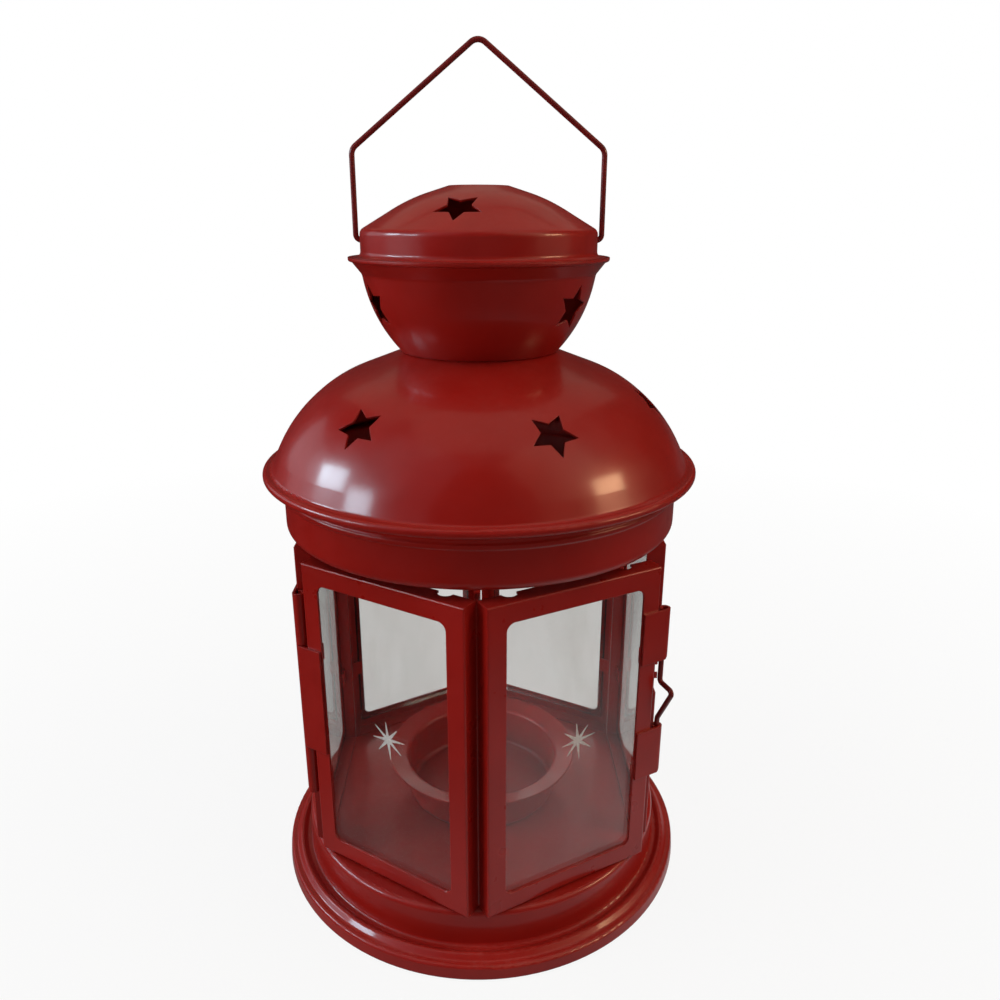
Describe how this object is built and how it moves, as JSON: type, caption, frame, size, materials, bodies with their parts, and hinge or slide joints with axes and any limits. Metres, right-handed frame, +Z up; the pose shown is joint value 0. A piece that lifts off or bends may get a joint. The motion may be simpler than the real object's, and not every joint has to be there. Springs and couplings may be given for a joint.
{
  "type": "punched tin lantern",
  "caption": "Hexagonal glazed tin candle lantern with a hinged two-pane door, wire latch, star-punched domed roof, chimney lid and wire bail handle.",
  "frame": {"origin": "centre of the foot ring, on the surface the lantern stands on", "axes": "+Z up through the chimney lid; -Y is the front, where the two door panes meet; +X is the latch side and -X the hinge side"},
  "size_m": [0.1308, 0.1308, 0.2461],
  "materials": {
    "red_paint": "satin gloss deep red paint on tinplate",
    "glass": "clear sheet glass"
  },
  "bodies": {
    "lantern": {"base_pan": "red_paint", "candle_dish": "red_paint", "left_side_frame": "red_paint", "left_side_pane": "glass", "rear_left_frame": "red_paint", "rear_left_pane": "glass", "rear_right_frame": "red_paint", "rear_right_pane": "glass", "right_side_frame": "red_paint", "right_side_pane": "glass", "side_hinge_leaf_upper": "red_paint", "side_hinge_leaf_lower": "red_paint", "hinge_pin": "red_paint", "roof_collar": "red_paint", "roof_dome": "red_paint", "chimney_bowl": "red_paint", "chimney_lid": "red_paint"},
    "door": {"door_left_frame": "red_paint", "door_left_pane": "glass", "door_right_frame": "red_paint", "door_right_pane": "glass", "door_hinge_leaf": "red_paint", "latch_lug_upper": "red_paint", "latch_lug_lower": "red_paint"},
    "latch": {"latch_wire": "red_paint"},
    "bail": {"bail_handle": "red_paint"}
  },
  "joints": [
    {"name": "door_swing", "type": "hinge", "parent": "lantern", "child": "door", "pos_m": [-0.0509, -0.02939, 0.068], "axis": [0, 0, -1], "range_deg": [-2.6, 157]},
    {"name": "latch_turn", "type": "hinge", "parent": "door", "child": "latch", "pos_m": [0.05104, -0.03416, 0.07], "axis": [0, 0, 1], "range_deg": [-53, 159]},
    {"name": "bail_swing", "type": "hinge", "parent": "lantern", "child": "bail", "pos_m": [0, 0, 0.1958], "axis": [1, 0, 0], "range_deg": [-100, 100]}
  ]
}
